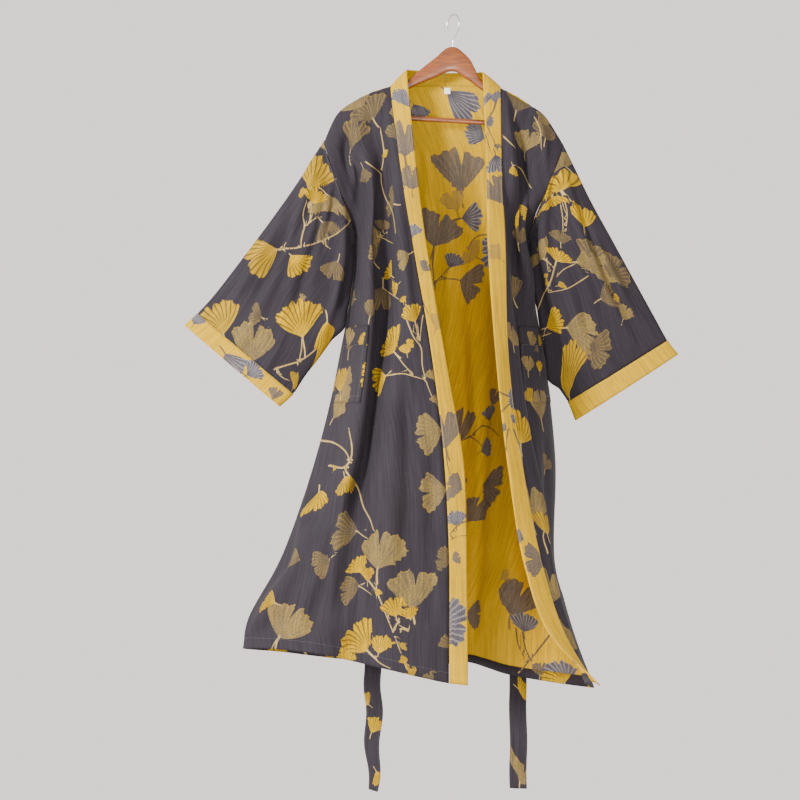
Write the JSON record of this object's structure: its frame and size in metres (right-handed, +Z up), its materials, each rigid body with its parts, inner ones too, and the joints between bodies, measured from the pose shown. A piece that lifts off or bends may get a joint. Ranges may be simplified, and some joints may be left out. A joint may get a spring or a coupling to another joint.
{
  "type": "kimono robe on a wooden hanger",
  "caption": "Open kimono-style robe with wide sleeves, a band collar, patch pockets and its belt, hung on a wooden hanger by a wire hook.",
  "frame": {"origin": "underside of the hook's crown, where a rail or peg carries it", "axes": "+Z up, front of the robe towards -Y, +X to the right as seen from the front"},
  "size_m": [1.0205, 0.361, 1.6255],
  "materials": {
    "charcoal_cloth": "matte double-faced cotton jacquard, charcoal with ginkgo leaves",
    "yellow_cloth": "matte cotton, mustard yellow with grey leaves",
    "label_cloth": "plain woven tape",
    "varnished_wood": "gloss varnish",
    "hook_wire": "polished wire"
  },
  "bodies": {
    "root": {"back": "charcoal_cloth", "front_left": "charcoal_cloth", "front_right": "charcoal_cloth", "neckband_left": "yellow_cloth", "neckband_right": "yellow_cloth", "sleeve_left": "charcoal_cloth", "sleeve_right": "charcoal_cloth", "cuff_left": "yellow_cloth", "cuff_right": "yellow_cloth", "pocket_left": "charcoal_cloth", "pocket_right": "charcoal_cloth", "belt": "charcoal_cloth", "belt_loop_left": "charcoal_cloth", "belt_loop_right": "charcoal_cloth", "label": "label_cloth", "hanger_body": "varnished_wood", "hanger_bar": "varnished_wood", "hanger_hook": "hook_wire"}
  },
  "joints": []
}
